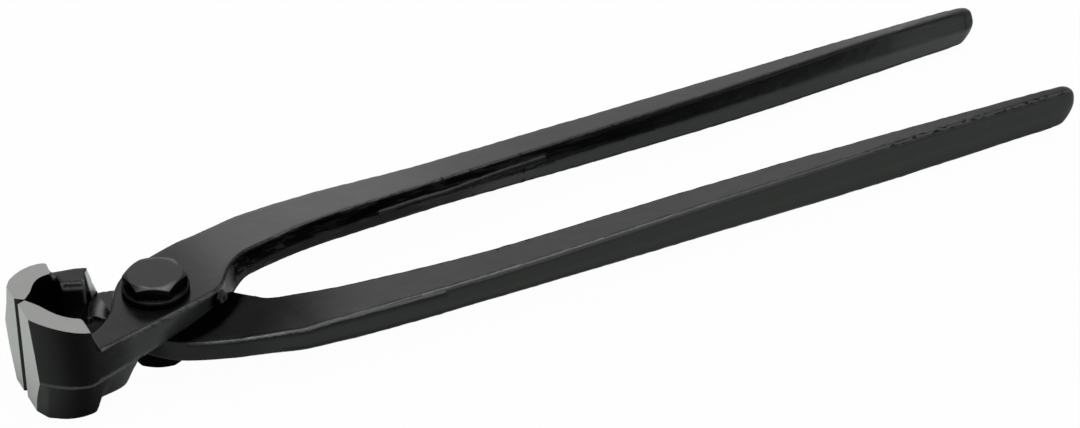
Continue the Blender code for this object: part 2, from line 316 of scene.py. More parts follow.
# Black oxide
oxide_broad = (0.006, 3.0)
oxide_blotch = (0.0016, 4.0, 0.6)
oxide_grain = (0.00045, 3.0, 0.6)
oxide_tones = ((0.0034, 0.0040, 0.0038, 1), (0.0064, 0.0070, 0.0066, 1))
oxide_wear_level = 0.3
oxide_wear_stops = ((0.50, 0.0), (0.86, 1.0))
oxide_wear_tint = 0.55
oxide_wear_tone = (0.09, 0.09, 0.086, 1)
oxide_wear_metal = 0.5
# Painted highlight on the bolt head's rim
rim_highlight_level = 0.25
rim_highlight_wander = 1.2
rim_highlight_tone = (0.165, 0.169, 0.163, 1)
oxide_roughness = {"plain": 0.14, "blotch": 0.14, "broad": 0.10, "rubbed": 0.1}
oxide_relief = {"grain": 0.3, "blotch": 0.7}
oxide_depth = 0.00002

# Studio: each lamp's name, place, size and power
lamps = (("overhead", Vector((0.10, 0.10, 1.30)), (0.85, 0.85), 5.9),
         ("behind_right", Vector((0.40, 1.00, 0.72)), (0.86, 0.60), 1.01))
lamp_target = Vector((0, 0, 0))
white = (1, 1, 1, 1)
floor_half = 6.0
floor_cloud = (0.05, 2.0)
floor_tones = ((0.79, 0.85, 0.805, 1), (0.81, 0.87, 0.825, 1))
floor_seen_share = 0.975
floor_mirrored_share = 0.15
world_level = 0.34
world_mirrored = 0.16

# Drawing
merge_distance = 0.000002
edge_point_step = 0.00025

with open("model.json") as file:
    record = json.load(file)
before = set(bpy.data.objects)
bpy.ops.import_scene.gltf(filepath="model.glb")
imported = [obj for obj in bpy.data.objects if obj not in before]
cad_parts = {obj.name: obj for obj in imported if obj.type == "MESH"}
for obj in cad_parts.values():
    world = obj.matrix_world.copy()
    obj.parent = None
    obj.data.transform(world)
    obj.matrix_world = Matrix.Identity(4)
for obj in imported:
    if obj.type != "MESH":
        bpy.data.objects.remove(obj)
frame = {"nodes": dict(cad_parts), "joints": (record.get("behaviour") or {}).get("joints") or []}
cad_low, cad_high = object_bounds()
pivot = Vector(frame["joints"][0]["pos_m"])


class Signal:
    """A socket of a node graph. Arithmetic on it adds Math nodes."""

    def __init__(self, graph, socket):
        self.graph = graph
        self.socket = socket

    def math(self, operation, first, second):
        return self.graph.node("ShaderNodeMath", {"operation": operation}, {0: first, 1: second})

    def __add__(self, other):
        return self.math("ADD", self, other)

    def __sub__(self, other):
        return self.math("SUBTRACT", self, other)

    def __mul__(self, other):
        return self.math("MULTIPLY", self, other)

    def __rsub__(self, other):
        return self.math("SUBTRACT", other, self)

    __radd__ = __add__
    __rmul__ = __mul__


class Graph:
    """The nodes of a material, the world or a modifier, each made by one method."""

    def __init__(self, tree):
        self.tree = tree
        tree.nodes.clear()

    def node(self, kind, settings=(), inputs=(), output=0):
        made = self.tree.nodes.new(kind)
        for key, value in dict(settings).items():
            if key == "stops":
                self.set_stops(made.color_ramp, value)
            else:
                setattr(made, key, value)
        for key, value in dict(inputs).items():
            if isinstance(value, Signal):
                self.tree.links.new(value.socket, made.inputs[key])
            else:
                made.inputs[key].default_value = value
        return Signal(self, made.outputs[output]) if made.outputs else made

    def set_stops(self, ramp, stops):
        while len(ramp.elements) < len(stops):
            ramp.elements.new(1.0)
        for element, (position, level) in zip(ramp.elements, stops):
            element.position = position
            element.color = (level, level, level, 1.0)


class Finish(Graph):
    """One material, with the patterns that its surface is made of."""

    def __init__(self, name):
        self.material = bpy.data.materials.new(name)
        self.material.use_nodes = True
        super().__init__(self.material.node_tree)
        self.place = self.node("ShaderNodeTexCoord", output="Object")

    def share(self, name):
        return self.node("ShaderNodeAttribute", {"attribute_name": name}, output="Fac")

    def cloud(self, size, detail, roughness=0.5, place=None):
        """Soft noise whose blotches are about the given size across."""
        return self.node("ShaderNodeTexNoise", {},
                         {"Vector": place or self.place, "Scale": 1 / size, "Detail": detail,
                          "Roughness": roughness})

    def lines(self, scale, detail, roughness):
        """The same noise drawn out into lines, along the axis whose scale is small."""
        place = self.node("ShaderNodeMapping", {}, {"Vector": self.place, "Scale": scale})
        return self.cloud(1, detail, roughness, place)

    def steps(self, value, stops):
        return self.node("ShaderNodeValToRGB", {"stops": stops}, {"Fac": value})

    def mixed(self, share, first, second):
        return self.node("ShaderNodeMix", {"data_type": "RGBA"}, {0: share, 6: first, 7: second},
                         output=2)

    def weighed(self, weights, marks):
        """A plain level with the marks on top, each as much as its weight says."""
        total = weights.get("plain", 0)
        for name, weight in weights.items():
            if name in marks:
                total = marks[name] * weight + total
        return total

    def shade_and_pit_black(self):
        return self.node("ShaderNodeBsdfDiffuse", {}, {"Color": shade_and_pit_tone})

    def bump(self, height, depth):
        return self.node("ShaderNodeBump", {}, {"Height": height, "Distance": depth})

    def surface(self, **shader):
        inputs = {key.replace("_", " "): value for key, value in shader.items()}
        return self.node("ShaderNodeBsdfPrincipled", {}, inputs)

    def close(self, surface):
        self.node("ShaderNodeOutputMaterial", {}, {"Surface": surface})
        return self.material


def dark_lacquer(name, coat):
    """Semi-gloss black lacquer over a forged skin, rubbed grey along the outer creases, lightened by
    painted fill light on some sides and darkened by painted shade mixed in as a black matt diffuse.
    """
    finish = Finish(name)
    near = finish.share("edge_near")
    rub = finish.share("edge_rub")
    # The matt attribute is painted shade and painted dark reflection
    matt = finish.share("matt")
    dust = finish.share("dust")
    streaky = finish.share("streaky")
    pitted = finish.share("edge_pits")
    milled = finish.share("milled")
    broad = finish.cloud(*lacquer_broad)
    blotch = finish.cloud(*lacquer_blotch)
    bare = finish.steps(near + blotch * bare_wander, bare_stops)
    plate = finish.steps(near, plate_stops)
    rubbed = (bare * bare_part + plate * (1 - bare_part)) * rub
    pits = finish.steps(finish.lines(*lacquer_dashes), dash_stops) * pitted
    patches = finish.steps(broad, patch_stops)
    scratches = finish.steps(finish.lines(*lacquer_lines), line_stops) * patches
    skin = finish.mixed(broad, *lacquer_tones)
    # Painted fill light: a lighter grey on some sides
    skin = finish.mixed(dust * (painted_fill_level + blotch * painted_fill_wander), skin, painted_fill_tone)
    skin = finish.mixed(scratches * scratch_tint, skin, scratch_tone)
    skin = finish.mixed(rubbed, skin, rubbed_tone)
    skin = finish.mixed(pits * pit_tint, skin, shade_and_pit_tone)
    skin = finish.mixed(milled, skin, milled_tone)
    marks = {"broad": broad, "blotch": blotch, "grain": finish.cloud(*lacquer_grain),
             "dust": dust, "scratches": scratches, "rubbed": rubbed, "pits": pits,
             "milled": milled}
    film = finish.share("grip") * coat if coat else 0.0
    lacquer = finish.surface(Base_Color=skin, Roughness=finish.weighed(lacquer_roughness, marks),
                             Metallic=finish.weighed(lacquer_metal, marks),
                             Coat_Weight=film, Coat_Roughness=coat_roughness,
                             Normal=finish.bump(finish.weighed(lacquer_relief, marks),
                                                lacquer_depth))
    # Painted shade: the black matt diffuse, streaked and thinner where creases are rubbed bare, plus
    # the real dark of pits, none on milled metal
    streaks = finish.steps(finish.lines(*lacquer_streaks), streak_stops)
    share = (matt * (painted_shade_level - streaks * (streaky * painted_shade_streaky + painted_shade_streak))
             * (1 - bare * painted_shade_rubbed_off) + pits * soot_in_pits - milled)
    return finish.close(finish.node("ShaderNodeMixShader", {},
                                    {0: share, 1: lacquer, 2: finish.shade_and_pit_black()}))


def ground_steel(name, across, tone):
    """Bare steel, bright and finely lined by the grinding belt."""
    finish = Finish(name)
    stains = finish.steps(finish.cloud(*steel_stains), stain_stops)
    marks = {"marks": finish.lines(across, *grinding_marks), "broad": finish.cloud(*steel_broad),
             "stains": stains}
    dull = tuple(share * steel_dull for share in tone) + (1,)
    bright = tuple(share * steel_bright for share in tone) + (1,)
    steel = finish.mixed(finish.weighed(steel_level, marks), dull, bright)
    steel = finish.mixed(stains * stain_tint, steel, stain_tone)
    return finish.close(finish.surface(Base_Color=steel, Metallic=steel_metal,
                                       Roughness=finish.weighed(steel_roughness, marks),
                                       Normal=finish.bump(marks["marks"], steel_depth)))


def black_oxide(name):
    """Blackened steel of the bolt, washer and nut, a little worn at corners and rims, with a painted
    highlight on the bolt head's rim and painted shade mixed in as a black matt diffuse.
    """
    finish = Finish(name)
    broad = finish.cloud(*oxide_broad)
    blotch = finish.cloud(*oxide_blotch)
    wear = finish.share("edge_near") * (blotch + oxide_wear_level)
    rubbed = finish.steps(wear, oxide_wear_stops)
    skin = finish.mixed(broad, *oxide_tones)
    # Painted highlight on the bolt head's rim
    skin = finish.mixed(finish.share("chamfer") * (blotch * rim_highlight_wander + rim_highlight_level), skin,
                        rim_highlight_tone)
    skin = finish.mixed(rubbed * oxide_wear_tint, skin, oxide_wear_tone)
    marks = {"broad": broad, "blotch": blotch, "grain": finish.cloud(*oxide_grain),
             "rubbed": rubbed}
    oxide = finish.surface(Base_Color=skin, Metallic=rubbed * oxide_wear_metal,
                           Roughness=finish.weighed(oxide_roughness, marks),
                           Normal=finish.bump(finish.weighed(oxide_relief, marks), oxide_depth))
    # The matt attribute mixes in painted shade as a black matt diffuse
    return finish.close(finish.node("ShaderNodeMixShader", {},
                                    {0: finish.share("matt"), 1: oxide, 2: finish.shade_and_pit_black()}))


def floor_paint():
    """Pale floor that the camera sees as near white, with the tool's shadow kept."""
    finish = Finish("studio_floor")
    seen = finish.node("ShaderNodeLightPath", output="Is Camera Ray")
    glossy = finish.node("ShaderNodeLightPath", output="Is Glossy Ray")
    tone = finish.mixed(finish.cloud(*floor_cloud), *floor_tones)
    matt = finish.node("ShaderNodeBsdfDiffuse", {}, {"Color": tone})
    lit = finish.node("ShaderNodeEmission", {}, {"Color": white, "Strength": 1})
    share = seen * floor_seen_share + glossy * floor_mirrored_share
    return finish.close(finish.node("ShaderNodeMixShader", {}, {0: share, 1: matt, 2: lit}))


def object_from(bm, name):
    mesh = bpy.data.meshes.new(name)
    bm.to_mesh(mesh)
    bm.free()
    made = bpy.data.objects.new(name, mesh)
    bpy.context.scene.collection.objects.link(made)
    return made


def applied(piece):
    """The piece with its modifiers turned into plain mesh."""
    graph = bpy.context.evaluated_depsgraph_get()
    mesh = bpy.data.meshes.new_from_object(piece.evaluated_get(graph))
    old = piece.data
    piece.modifiers.clear()
    piece.data = mesh
    bpy.data.meshes.remove(old)
    mesh.name = piece.name
    return piece


def merged_copy(node_name):
    bm = bmesh.new()
    bm.from_mesh(frame["nodes"][node_name].data)
    bmesh.ops.remove_doubles(bm, verts=bm.verts, dist=merge_distance)
    return bm


def crease_points(bm, weigh, extra=()):
    """Points along the chosen outward creases, and the weight of each point."""
    points = [place for place, weight in extra]
    weights = [weight for place, weight in extra]
    for edge in bm.edges:
        angle = edge.calc_face_angle_signed(0) if len(edge.link_faces) == 2 else 0
        if angle < faint_crease_angle:
            continue
        start, end = (vert.co for vert in edge.verts)
        facing = (edge.link_faces[0].normal + edge.link_faces[1].normal).normalized()
        rise = abs((end - start).normalized().z)
        weight = weigh(start.lerp(end, 0.5), facing, angle, rise)
        if not weight:
            continue
        count = max(1, math.ceil((end - start).length / edge_point_step))
        points += [start.lerp(end, step / count) for step in range(count + 1)]
        weights += [weight] * (count + 1)
    tree = kdtree.KDTree(len(points))
    for index, point in enumerate(points):
        tree.insert(point, index)
    tree.balance()
    return tree, weights


def any_crease(place, facing, angle, rise):
    return float(angle > crease_angle)


def rub_share(lap_side):
    """Tells how far a crease is rubbed bare. Of two creases beside a bevel, only one is."""
    def weigh(place, facing, angle, rise):
        offset = place - pivot
        tilt = abs(facing.z)
        jaw_side = facing.y * lap_side > 0
        level = offset.z * lap_side
        if offset.x > lap_face_reach:
            if jaw_side or tilt < handle_rub_tilt or angle < worn_crease_angle:
                return 0.0
            along = ramp(offset.x, lap_face_reach, cad_high.x - pivot.x)
            return handle_rub + (handle_rub_end - handle_rub) * along
        if not jaw_side:
            if offset.x > root_rub_start and abs(level) < lap_face_depth:
                faded = ramp(offset.x, root_rub_start, root_rub_full)
                return root_rub * faded * (angle > sharp_crease_angle)
            if offset.x < -milled_start and level > block_rub_height:
                return block_rub * (tilt < block_rub_tilt)
            return 0.0
        if crotch_rub_start < offset.x < crotch_rub_end and rise > crotch_rub_rise:
            return crotch_rub
        on_arm = arm_rub_start < offset.x < arm_rub_end and level < -lap_face_depth
        if on_arm and arm_rub_tilt[0] < tilt < arm_rub_tilt[1]:
            return arm_rub * (angle > crease_angle)
        if offset.x < jaw_rub_end and abs(level) < jaw_rub_height and tilt < jaw_rub_tilt:
            return jaw_rub
        return 0.0
    return weigh


def inner_crease(lap_side):
    """Picks the creases along the inner side of a handle."""
    def weigh(place, facing, angle, rise):
        return float(place.x > pivot.x + lap_face_reach / 2 and facing.y * lap_side > 0
                     and angle > crease_angle)
    return weigh


def fold_points():
    """Points along the fold in the upper handle's inner wall, to wear like a crease."""
    places = [Vector(place) for place in fold_places]
    points = []
    for start, end in zip(places, places[1:]):
        count = math.ceil((end - start).length / edge_point_step)
        points += [(start.lerp(end, step / count), fold_rub) for step in range(count)]
    return points


def ground_planes():
    """The nose, top and bottom planes of the jaws, each as a point and the way it faces."""
    low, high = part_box("upper_lever")
    return {
        "nose": (Vector((low.x, 0, 0)), Vector((-1, 0, 0))),
        "top": (Vector((low.x, 0, high.z)), Vector((ring_top_fall, 0, ring_length)).normalized()),
        "bottom": (Vector((low.x, 0, low.z)),
                   Vector((ring_bottom_fall, 0, -ring_length)).normalized()),
    }


def leave_stock(bm, plane, ring_back):
    """Extends a jaw past a ground plane, along its own walls, so that grinding cuts it crisp."""
    place, facing = plane
    on_plane = {v for v in bm.verts
                if abs((v.co - place).dot(facing)) < plane_tolerance and v.co.x < ring_back}
    moves = {}
    for vert in on_plane:
        others = [edge.other_vert(vert) for edge in vert.link_edges]
        ways = [vert.co - other.co for other in others if other not in on_plane]
        way = max(ways, key=lambda step: step.normalized().dot(facing), default=facing)
        moves[vert] = way * (grinding_stock / way.dot(facing))
    for vert, move in moves.items():
        vert.co += move


def grind(bm, plane, ring_back, slot_index):
    """Cuts a jaw flat at a ground plane and gives the new face its own material slot."""
    place, facing = plane
    faces = [f for f in bm.faces if all(v.co.x < ring_back for v in f.verts)]
    edges = {e for f in faces for e in f.edges}
    verts = {v for f in faces for v in f.verts}
    cut = bmesh.ops.bisect_plane(bm, geom=faces + list(edges) + list(verts), plane_co=place,
                                 plane_no=facing, clear_outer=True)
    rim = [item for item in cut["geom_cut"] if isinstance(item, bmesh.types.BMEdge)]
    filled = bmesh.ops.contextual_create(bm, geom=rim)["faces"]
    for face in filled:
        face.material_index = slot_index
        face.smooth = False
        if face.normal.dot(facing) < 0:
            face.normal_flip()
    bmesh.ops.triangulate(bm, faces=filled)


def lap_flat(offset, normal, lap_side):
    """How much a point belongs to the flat where the levers slide on each other."""
    if abs(offset.z) > lap_flat_depth:
        return 0.0
    radius = math.hypot(offset.x, offset.y)
    return (ramp(normal.z * lap_side, *lap_tilt)
            * (1 - ramp(radius, lap_face_reach, lap_face_reach + lap_flat_fade)))


def forge_skin(mesh, creases, folds, lap_side):
    """Moves the surface in and out a little, leaves flash and a fold, and levels the lap."""
    mesh.calc_loop_triangles()
    normals = [vert.normal.copy() for vert in mesh.vertices]
    handle_start = pivot.x + lap_face_reach
    fold_tree = kdtree.KDTree(len(folds))
    for index, (place, rub) in enumerate(folds):
        fold_tree.insert(place, index)
    fold_tree.balance()
    for vert, normal in zip(mesh.vertices, normals):
        point = vert.co
        swell = noise.noise(point / swell_size) * swell_height
        ripple = noise.noise(point / ripple_size) * ripple_height
        near = max(0.0, 1 - creases.find(point)[2] / flash_reach)
        rag = max(0.0, noise.noise(point / flash_size) + flash_bias)
        handle = min(max((point.x - handle_start) / handle_fade, 0), 1)
        fold = max(0.0, 1 - fold_tree.find(point)[2] / fold_reach) if folds else 0.0
        flat = lap_flat(point - pivot, normal, lap_side)
        vert.co = point + normal * ((swell + ripple) * (1 - flat)
                                    + near * rag * handle * flash_height + fold * fold_height)
        vert.co.z += (pivot.z - lap_side * lap_gap - vert.co.z) * flat


def ease(bm, verts, rounds):
    """Rounds a part of the skin more than the rest."""
    for _ in range(rounds):
        bmesh.ops.smooth_vert(bm, verts=verts, factor=smoothing_factor, use_axis_x=True,
                              use_axis_y=True, use_axis_z=True)


def write_share(mesh, name, shares, domain="POINT"):
    layer = mesh.attributes.new(name, "FLOAT", domain)
    layer.data.foreach_set("value", shares)


def ramp(value, start, end):
    share = min(max((value - start) / (end - start), 0), 1)
    return share * share * (3 - 2 * share)


def near_shares(mesh, creases, reach):
    return [max(0.0, 1 - creases.find(vert.co)[2] / reach) for vert in mesh.vertices]


def worn_shares(mesh, worn_creases, rubs, lap_side):
    """How near each point is to a worn crease, and how bare that crease is.

    A handle's wear spreads over the bevel beside its crease. Elsewhere it is a thin line.
    """
    nears = near_shares(mesh, worn_creases, wear_reach)
    bares = []
    for index, vert in enumerate(mesh.vertices):
        rub = rubs[worn_creases.find(vert.co)[1]]
        offset = vert.co - pivot
        if offset.x > lap_face_reach or (offset.x > 0 and vert.normal.y * lap_side < 0):
            tilt = abs(vert.normal.z)
            rub *= ramp(tilt, *bevel_tilt_low) * (1 - ramp(tilt, *bevel_tilt_high))
        elif nears[index] < thin_wear_share:
            nears[index] = 0.0
        bares.append(rub)
    return nears, bares


def pit_shares(mesh, creases, lap_side):
    """Where trimmed flash left pits: the handle's last stretch and the arm's edge."""
    shares = []
    for vert, near in zip(mesh.vertices, near_shares(mesh, creases, pit_reach)):
        offset = vert.co - pivot
        along = ramp(vert.co.x, pit_start, pit_start + handle_fade)
        arm = arm_rub_start < offset.x < corner_shade_start and vert.normal.y * lap_side > pit_turn
        shares.append(near * max(along, arm_pit_share * arm))
    return shares


def lap_share(offset, normal, lap_side):
    """How much painted shade the flat takes that slides on the other lever, on the side of the
    handles.
    """
    if normal.z * lap_side < level_tilt or abs(offset.z) > lap_face_depth:
        return 0.0
    radius = math.hypot(offset.x, offset.y)
    edge = lap_face_reach + lap_edge_skew * offset.y * lap_side
    fade = lap_fade_share * (1 - ramp(radius, lap_face_reach, lap_face_reach + lap_face_fade))
    black = 1 - ramp(radius, edge - lap_edge_blur, edge + lap_edge_blur)
    return (fade + (1 - fade) * black) * ramp(offset.x, lap_shade_front, 0)


def jaw_share(offset, normal):
    """How much painted shade the jaws take: most on their sides, a little on the arm's flat."""
    if abs(normal.z) > jaw_flat_tilt:
        return flat_shade_share * (1 - ramp(offset.x, -flat_shade_start, flat_shade_end))
    back = ramp(offset.x, -jaw_shade_nose, -jaw_shade_side)
    tail = ramp(offset.x, -jaw_shade_side, -jaw_shade_end)
    return (nose_shade_share + (side_shade_share - nose_shade_share) * back) * (1 - tail)


def corner_share(offset, normal, lap_side):
    """Painted shade in the corner where the arm's side ends at the crotch."""
    outward = -offset.z * lap_side
    if normal.y * lap_side < side_turn or abs(normal.z) > level_tilt or outward < lap_face_depth:
        return 0.0
    return corner_shade_share * (ramp(offset.x, corner_shade_start, corner_shade_middle)
                         * (1 - ramp(offset.x, corner_shade_middle, corner_shade_end)))


def inner_wall_share(offset, normal, lap_side):
    """How much painted shade and painted dark reflection the handle's inner wall takes: all of it by
    the crotch, then its outer half.
    """
    if normal.y * lap_side < side_turn or abs(normal.z) > inner_wall_tilt:
        return 0.0
    start = ramp(offset.x, wall_shade_start, wall_shade_full)
    split = wall_split - wall_split_fall * ramp(offset.x, wall_split_start, wall_split_end)
    outward = ramp(-offset.z * lap_side, split - wall_split_blur, split + wall_split_blur)
    whole = wall_whole_share * (1 - ramp(offset.x, wall_whole_end, wall_whole_end + wall_whole_fade))
    fade = 1 - wall_fade_share * ramp(offset.x, wall_fade_start, wall_fade_end)
    return wall_shade_share * start * max(outward, whole) * fade


def outer_wall_share(offset, normal, lap_side, distance):
    """How much painted shade the handle's outer wall takes, at its root and just inside its worn
    crease.
    """
    if normal.y * lap_side > -side_turn or offset.x < lap_shade_front:
        return 0.0
    root = root_shade_share * (1 - ramp(offset.x, lap_face_reach / 2, root_shade_end))
    if abs(normal.z) > outer_wall_tilt or offset.x < root_rub_start:
        return root
    shade = shade_share * (1 - ramp(distance, shade_start, shade_reach))
    return max(root, shade * (1 - ramp(offset.x, shade_fade_start, shade_fade_end)))


def notched_reach(offset):
    """How far the painted shade of an inner crease reaches: further in a few ragged notches."""
    rag = max(0.0, noise.noise(Vector((offset.x / notch_size, 0, 0))) - notch_level)
    window = (ramp(offset.x, notch_start, notch_start + handle_fade)
              * (1 - ramp(offset.x, notch_end - handle_fade, notch_end)))
    return inner_crease_reach + notch_reach * rag * window


def painted_shade_shares(mesh, inner_creases, worn_creases, lap_side):
    shares = []
    for vert in mesh.vertices:
        offset = vert.co - pivot
        normal = vert.normal
        crease = max(0.0, 1 - inner_creases.find(vert.co)[2] / notched_reach(offset))
        distance = worn_creases.find(vert.co)[2]
        shares.append(max(lap_share(offset, normal, lap_side), jaw_share(offset, normal),
                          inner_wall_share(offset, normal, lap_side),
                          corner_share(offset, normal, lap_side),
                          foot_share(offset, normal, lap_side),
                          outer_wall_share(offset, normal, lap_side, distance),
                          inner_crease_share * crease))
    return shares


def streaky_shares(mesh, lap_side):
    """Where the painted shade is streaked: on a handle's inner side."""
    return [ramp(vert.normal.y * lap_side, *streaky_turn)
            * ramp(vert.co.x - pivot.x, 0, lap_face_reach) for vert in mesh.vertices]


def grip_share(along):
    """How thick the glossy film is: none at the joint, most at the handle's root."""
    middle = ramp(along, grip_full, grip_end) * (1 - ramp(along, grip_tip_start, grip_tip_end))
    return ramp(along, grip_start, lap_face_reach) * (1 - grip_fall * middle)


def painted_fill_shares(mesh, lap_side):
    """Painted fill light, as a lighter grey: the arm's side below the bolt head, and the bulge
    behind the jaw.
    """
    shares = []
    for vert in mesh.vertices:
        offset = vert.co - pivot
        side = ramp(vert.normal.y * lap_side, *painted_fill_turn)
        thick = painted_fill_share + (1 - painted_fill_share) * ramp(offset.x, painted_fill_thick_start, painted_fill_thick_end)
        shares.append(thick * side * ramp(offset.x, painted_fill_start, painted_fill_full)
                      * (1 - ramp(offset.x, painted_fill_fade, painted_fill_end)))
    return shares


def behind_block(offset, normal, lap_side):
    """Tells the wall behind a jaw's block from the flat at its foot, or neither."""
    if offset.x > -milled_start or offset.y * lap_side < 0:
        return None
    if abs(normal.z) < milled_wall_tilt and math.hypot(offset.x, offset.y) < milled_radius:
        return "wall" if offset.z * lap_side > lap_face_depth else None
    level = normal.z * lap_side > level_tilt
    return "flat" if level and abs(offset.z) < lap_face_depth else None


def wall_brightness(offset, lap_side):
    """How bright the milled wall is: its outer part, which narrows towards its foot. The rest of the
    wall takes painted shadow.
    """
    outward = offset.y * lap_side + milled_slant * offset.z * lap_side
    return ramp(outward, milled_edge, milled_edge + milled_blur)


def milled_shares(mesh, lap_side):
    """The wall behind each jaw's block, milled bright to clear the other lever, and its foot."""
    shares = []
    for vert in mesh.vertices:
        offset = vert.co - pivot
        place = behind_block(offset, vert.normal, lap_side)
        share = 0.0
        if place == "wall":
            share = wall_brightness(offset, lap_side)
        elif place == "flat":
            radius = math.hypot(offset.x, offset.y)
            share = foot_streak_share * (ramp(radius, foot_streak_start, foot_streak_middle)
                                         * (1 - ramp(radius, foot_streak_middle, foot_streak_end)))
        shares.append(share)
    return shares


def foot_share(offset, normal, lap_side):
    """Painted shadow at the foot of the milled wall, and under the other lever's edge."""
    place = behind_block(offset, normal, lap_side)
    if place == "wall":
        return foot_shadow_share * (1 - wall_brightness(offset, lap_side))
    if place == "flat":
        radius = math.hypot(offset.x, offset.y)
        return foot_shadow_share * (1 - ramp(radius, foot_streak_start, foot_streak_middle))
    return 0.0


def lever(node_name, materials, lap_side):
    """A whole forged lever, softened and roughened, with its jaw ground flat."""
    planes = ground_planes()
    low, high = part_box(node_name)
    ring_back = low.x + ring_length + plane_tolerance
    cut_back = ring_back + grinding_stock / 2
    bm = merged_copy(node_name)
    folds = fold_points() if node_name == "upper_lever" else []
    creases, _ = crease_points(bm, any_crease)
    worn_creases, rubs = crease_points(bm, rub_share(lap_side), folds)
    inner_creases, _ = crease_points(bm, inner_crease(lap_side))
    for plane in planes.values():
        leave_stock(bm, plane, ring_back)
    piece = object_from(bm, "forged_" + node_name)
    remesh = piece.modifiers.new("voxels", "REMESH")
    remesh.mode = "VOXEL"
    remesh.voxel_size = forging_voxel
    remesh.use_smooth_shade = True
    smooth = piece.modifiers.new("soften", "SMOOTH")
    smooth.factor = smoothing_factor
    smooth.iterations = smoothing_rounds
    applied(piece)
    forge_skin(piece.data, creases, folds, lap_side)
    bm = bmesh.new()
    bm.from_mesh(piece.data)
    for reach in (end_ease, end_ease * 2):
        ease(bm, [v for v in bm.verts if v.co.x > high.x - reach], end_ease_rounds)
    ease(bm, [v for v in bm.verts if v.co.z < foot_ease_height
              and (v.co.y - pivot.y) * lap_side > foot_ease_side
              and low.x + foot_ease_front < v.co.x < pivot.x - foot_ease_start], foot_ease_rounds)
    for index, plane in enumerate(planes.values()):
        grind(bm, plane, cut_back, index + 1)
    bm.to_mesh(piece.data)
    bm.free()
    mesh = piece.data
    for material in materials:
        mesh.materials.append(material)
    mesh.set_sharp_from_angle(angle=lever_sharp_angle)
    nears, bares = worn_shares(mesh, worn_creases, rubs, lap_side)
    write_share(mesh, "edge_near", nears)
    write_share(mesh, "edge_rub", bares)
    write_share(mesh, "edge_pits", pit_shares(mesh, worn_creases, lap_side))
    # Painted shade and painted dark reflection
    write_share(mesh, "matt", painted_shade_shares(mesh, inner_creases, worn_creases, lap_side))
    write_share(mesh, "streaky", streaky_shares(mesh, lap_side))
    # Painted fill light
    write_share(mesh, "dust", painted_fill_shares(mesh, lap_side))
    write_share(mesh, "milled", milled_shares(mesh, lap_side))
    write_share(mesh, "grip", [grip_share(vert.co.x - pivot.x) for vert in mesh.vertices])
    return piece


def rim_highlight_share(face):
    """A painted highlight on the rim of a head: on two sides of its chamfer and crown, less at the
    back than at the front.
    """
    outward = Vector((face.center.x - pivot.x, face.center.y - pivot.y, 0))
    if face.normal.z < rim_tilt or outward.length < crown_radius:
        return 0.0
    way = outward.normalized()
    front = ramp(way.dot(rim_front), *rim_front_spread)
    back = rim_back_share * ramp(way.dot(rim_back), *rim_back_spread)
    return max(front, back)


def fastener(node_name, material):
    """A turned or pressed fastener, its corners eased."""
    bm = merged_copy(node_name)
    bmesh.ops.dissolve_limit(bm, angle_limit=coplanar_angle, verts=bm.verts, edges=bm.edges)
    creases, _ = crease_points(bm, any_crease)
    if node_name == "pivot_bolt":
        crown = max(bm.faces, key=lambda face: face.calc_center_median().z)
        bmesh.ops.inset_region(bm, faces=[crown], thickness=crown_rim)
    piece = object_from(bm, "finished_" + node_name)
    bevel = piece.modifiers.new("ease", "BEVEL")
    bevel.width = fastener_edge_round
    bevel.segments = fastener_bevel_segments
    bevel.limit_method = "ANGLE"
    bevel.angle_limit = fastener_bevel_angle
    applied(piece)
    bm = bmesh.new()
    bm.from_mesh(piece.data)
    bmesh.ops.triangulate(bm, faces=bm.faces, quad_method="BEAUTY", ngon_method="BEAUTY")
    bm.to_mesh(piece.data)
    bm.free()
    mesh = piece.data
    for face in mesh.polygons:
        face.use_smooth = True
    mesh.set_sharp_from_angle(angle=fastener_sharp_angle)
    mesh.materials.append(material)
    write_share(mesh, "edge_near", near_shares(mesh, creases, fastener_wear_reach))
    # Painted shade, different on the sides and on the flats
    side_shade, flat_shade = fastener_painted_shade[node_name]
    flats = [ramp(abs(face.normal.z), *fastener_flat_tilt) for face in mesh.polygons]
    write_share(mesh, "matt", [side_shade + (flat_shade - side_shade) * share for share in flats],
                "FACE")
    # Painted highlight on the bolt head's rim
    write_share(mesh, "chamfer", [rim_highlight_share(face) for face in mesh.polygons], "FACE")
    return piece


